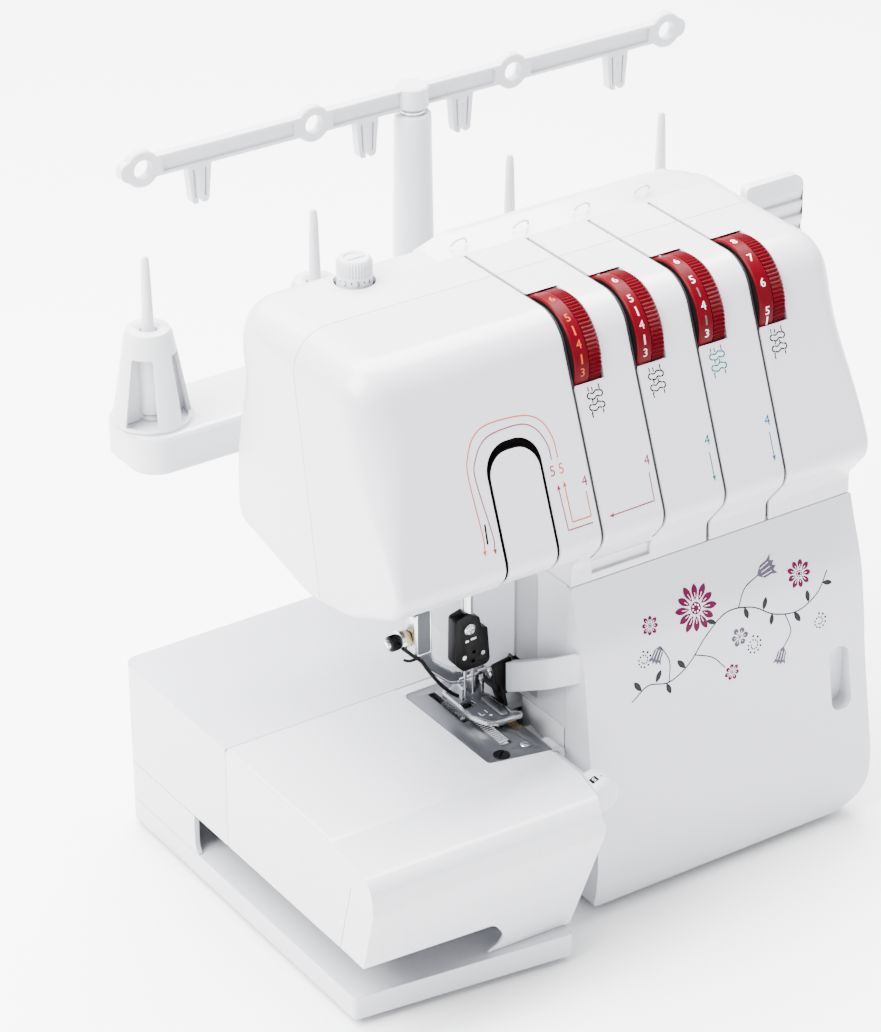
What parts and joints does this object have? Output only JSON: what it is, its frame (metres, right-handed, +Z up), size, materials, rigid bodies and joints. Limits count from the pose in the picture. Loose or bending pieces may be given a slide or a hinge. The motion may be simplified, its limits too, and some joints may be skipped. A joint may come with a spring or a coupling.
{
  "type": "overlock sewing machine",
  "caption": "Household overlock sewing machine with a free arm, tension dials on the crown, a tilting front cover, a spool stand and a telescoping thread tree.",
  "frame": {"origin": "bottom centre of the bounding box, on the surface the feet stand on", "axes": "+X to the operator's right along the arm, +Y to the back towards the spool stand, +Z up"},
  "size_m": [0.345, 0.2562, 0.3538],
  "materials": {
    "white": "glossy moulded plastic",
    "soft_white": "satin moulded plastic",
    "red": "deep glossy translucent red",
    "steel": "brushed",
    "dark_steel": "dark ground steel",
    "cast": "die-cast, unpainted",
    "black": "satin black",
    "rubber": "matt"
  },
  "bodies": {
    "machine": {"base_plate": "white", "foot_front_left": "rubber", "foot_front_right": "rubber", "foot_rear_left": "rubber", "foot_rear_right": "rubber", "rear_bed": "white", "main_frame": "cast", "needle_plate": "steel", "needle_plate_screw_left": "steel", "needle_plate_screw_right": "steel", "front_housing": "white", "rear_housing": "white", "take_up_cover": "white", "motor": "dark_steel", "drive_belt": "rubber", "dial_axle": "steel", "lower_knife": "steel", "power_inlet": "black", "spool_stand": "white", "outer_post": "white", "spool_pin_1": "soft_white", "spool_pin_2": "soft_white", "spool_pin_3": "soft_white", "spool_pin_4": "soft_white"},
    "drive_shaft": {"main_shaft": "steel", "handwheel": "white"},
    "motor_pulley": {"motor_pulley": "black"},
    "tension_dial_1": {"tension_dial_1": "red"},
    "tension_dial_2": {"tension_dial_2": "red"},
    "tension_dial_3": {"tension_dial_3": "red"},
    "tension_dial_4": {"tension_dial_4": "red"},
    "pressure_knob": {"pressure_knob": "white"},
    "needle_group": {"needle_bar": "steel", "needle_clamp": "black", "clamp_screw": "steel", "needle_left": "steel", "needle_right": "steel"},
    "take_up_lever": {"take_up_lever": "steel"},
    "presser_group": {"presser_bar": "steel", "presser_foot_holder": "steel", "foot_thumb_screw": "black"},
    "presser_foot": {"presser_foot": "steel"},
    "foot_lifter_lever": {"foot_lifter_lever": "soft_white"},
    "feed_dog": {"feed_dog": "steel"},
    "upper_looper": {"upper_looper": "steel"},
    "lower_looper": {"lower_looper": "steel"},
    "upper_knife": {"upper_knife": "dark_steel"},
    "cover_hinge_rod": {"cover_hinge_rod": "steel"},
    "front_cover": {"front_cover": "white"},
    "extension_table": {"extension_table": "white"},
    "stitch_width_dial": {"stitch_width_dial": "white"},
    "stitch_length_dial": {"stitch_length_dial": "white"},
    "feed_ratio_dial": {"feed_ratio_dial": "white"},
    "power_switch": {"power_switch": "black"},
    "inner_tube": {"inner_tube": "steel"},
    "thread_tree": {"thread_tree": "soft_white"},
    "cone_holder_1": {"cone_holder_1": "soft_white"},
    "cone_holder_2": {"cone_holder_2": "soft_white"},
    "cone_holder_3": {"cone_holder_3": "soft_white"},
    "cone_holder_4": {"cone_holder_4": "soft_white"}
  },
  "joints": [
    {"name": "handwheel_turn", "type": "hinge", "parent": "machine", "child": "drive_shaft", "pos_m": [0.0275, 0.01564, 0.132], "axis": [1, 0, 0], "continuous": true},
    {"name": "motor_turn", "type": "hinge", "parent": "machine", "child": "motor_pulley", "pos_m": [0.0935, 0.06964, 0.054], "axis": [1, 0, 0], "continuous": true},
    {"name": "tension_1", "type": "hinge", "parent": "machine", "child": "tension_dial_1", "pos_m": [-0.0119, -0.03386, 0.2725], "axis": [1, 0, 0], "range_deg": [-150, 150]},
    {"name": "tension_2", "type": "hinge", "parent": "machine", "child": "tension_dial_2", "pos_m": [0.0233, -0.03386, 0.2725], "axis": [1, 0, 0], "range_deg": [-150, 150]},
    {"name": "tension_3", "type": "hinge", "parent": "machine", "child": "tension_dial_3", "pos_m": [0.0585, -0.03386, 0.2725], "axis": [1, 0, 0], "range_deg": [-150, 150]},
    {"name": "tension_4", "type": "hinge", "parent": "machine", "child": "tension_dial_4", "pos_m": [0.0937, -0.03386, 0.2725], "axis": [1, 0, 0], "range_deg": [-150, 150]},
    {"name": "pressure_adjust", "type": "hinge", "parent": "machine", "child": "pressure_knob", "pos_m": [-0.0775, 0.03364, 0.304], "axis": [0, 0, 1], "range_deg": [-170, 170]},
    {"name": "needle_stroke", "type": "slide", "parent": "machine", "child": "needle_group", "axis": [0, 0, 1], "range_m": [-0.014, 0.006]},
    {"name": "take_up", "type": "hinge", "parent": "machine", "child": "take_up_lever", "pos_m": [-0.0745, -0.04036, 0.23], "axis": [1, 0, 0], "range_deg": [-6, 6]},
    {"name": "presser_lift", "type": "slide", "parent": "machine", "child": "presser_group", "axis": [0, 0, 1], "range_m": [0, 0.006]},
    {"name": "foot_tilt", "type": "hinge", "parent": "presser_group", "child": "presser_foot", "pos_m": [-0.0555, -0.02636, 0.1022], "axis": [1, 0, 0], "range_deg": [-8, 3]},
    {"name": "foot_lifter", "type": "hinge", "parent": "machine", "child": "foot_lifter_lever", "pos_m": [0.1425, 0.02014, 0.23], "axis": [-1, 0, 0], "range_deg": [0, 45]},
    {"name": "feed", "type": "slide", "parent": "machine", "child": "feed_dog", "axis": [0, 1, 0], "range_m": [-0.002, 0.002]},
    {"name": "upper_looper_swing", "type": "hinge", "parent": "machine", "child": "upper_looper", "pos_m": [-0.0425, -0.04236, 0.058], "axis": [1, 0, 0], "range_deg": [-6, 6]},
    {"name": "lower_looper_swing", "type": "hinge", "parent": "machine", "child": "lower_looper", "pos_m": [-0.0425, -0.01436, 0.06], "axis": [1, 0, 0], "range_deg": [-6, 6]},
    {"name": "knife_stroke", "type": "slide", "parent": "machine", "child": "upper_knife", "axis": [0, 0, 1], "range_m": [-0.002, 0.004]},
    {"name": "cover_slide", "type": "slide", "parent": "machine", "child": "cover_hinge_rod", "axis": [1, 0, 0], "range_m": [0, 0.006]},
    {"name": "cover_tilt", "type": "hinge", "parent": "cover_hinge_rod", "child": "front_cover", "pos_m": [0.0525, -0.08736, 0.014], "axis": [1, 0, 0], "range_deg": [0, 75]},
    {"name": "table_slide", "type": "slide", "parent": "machine", "child": "extension_table", "axis": [-1, 0, 0], "range_m": [0, 0.13]},
    {"name": "stitch_width", "type": "hinge", "parent": "machine", "child": "stitch_width_dial", "pos_m": [-0.0393, -0.10636, 0.082], "axis": [0, 1, 0], "range_deg": [-150, 150]},
    {"name": "stitch_length", "type": "hinge", "parent": "machine", "child": "stitch_length_dial", "pos_m": [0.1395, -0.04136, 0.066], "axis": [1, 0, 0], "range_deg": [-150, 150]},
    {"name": "feed_ratio", "type": "hinge", "parent": "machine", "child": "feed_ratio_dial", "pos_m": [0.1395, -0.04636, 0.122], "axis": [1, 0, 0], "range_deg": [-150, 150]},
    {"name": "power_rocker", "type": "hinge", "parent": "machine", "child": "power_switch", "pos_m": [0.1335, 0.04064, 0.047], "axis": [0, 1, 0], "range_deg": [-6, 6]},
    {"name": "tree_height", "type": "slide", "parent": "machine", "child": "inner_tube", "axis": [0, 0, 1], "range_m": [0, 0.1]},
    {"name": "tree_turn", "type": "hinge", "parent": "inner_tube", "child": "thread_tree", "pos_m": [0.002, 0.10564, 0.345], "axis": [0, 0, 1], "range_deg": [-90, 90]},
    {"name": "cone_holder_lift_1", "type": "slide", "parent": "machine", "child": "cone_holder_1", "axis": [0, 0, 1], "range_m": [0, 0.055]},
    {"name": "cone_holder_lift_2", "type": "slide", "parent": "machine", "child": "cone_holder_2", "axis": [0, 0, 1], "range_m": [0, 0.055]},
    {"name": "cone_holder_lift_3", "type": "slide", "parent": "machine", "child": "cone_holder_3", "axis": [0, 0, 1], "range_m": [0, 0.055]},
    {"name": "cone_holder_lift_4", "type": "slide", "parent": "machine", "child": "cone_holder_4", "axis": [0, 0, 1], "range_m": [0, 0.055]}
  ],
  "couplings": [
    {"joint": "motor_turn", "follows": "handwheel_turn", "ratio": 3.5},
    {"joint": "presser_lift", "follows": "foot_lifter", "m_per_rad": 0.0076394}
  ]
}
